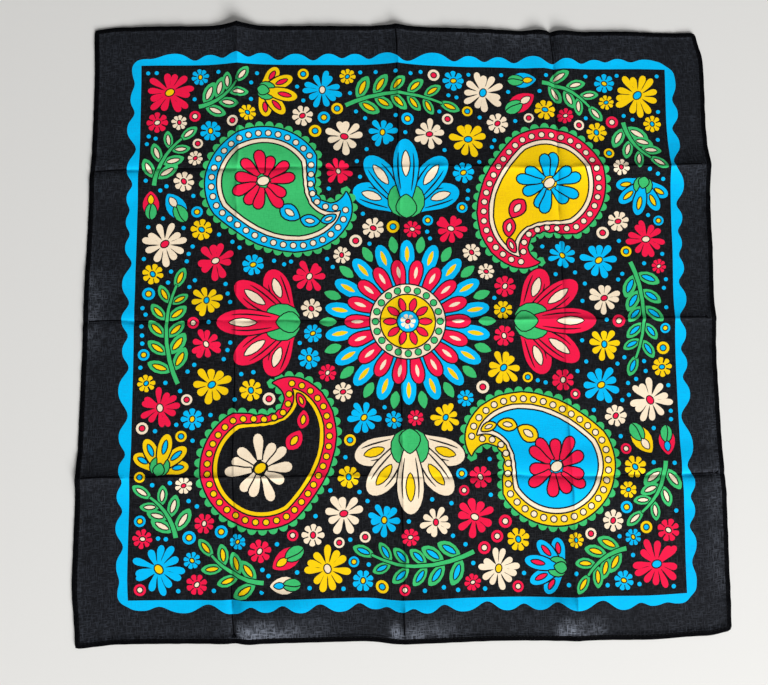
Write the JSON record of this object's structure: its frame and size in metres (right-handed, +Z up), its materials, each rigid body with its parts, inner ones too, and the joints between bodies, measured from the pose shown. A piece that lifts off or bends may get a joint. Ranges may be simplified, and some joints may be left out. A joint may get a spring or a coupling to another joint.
{
  "type": "printed cotton bandana",
  "caption": "Square cotton kerchief with a narrow turned hem, lying flat with the creases of its folding, worn at the head or neck.",
  "frame": {"origin": "under the middle of the cloth, in the plane that it rests on", "axes": "+Z up out of the printed face, +Y towards the side that is at the top of the picture, +X to the right"},
  "size_m": [0.5594, 0.5458, 0.0088],
  "materials": {
    "printed_cotton": "plain-weave black cotton with flat screen-printed inks on its upper face"
  },
  "bodies": {
    "root": {"bandana": "printed_cotton"}
  },
  "joints": []
}
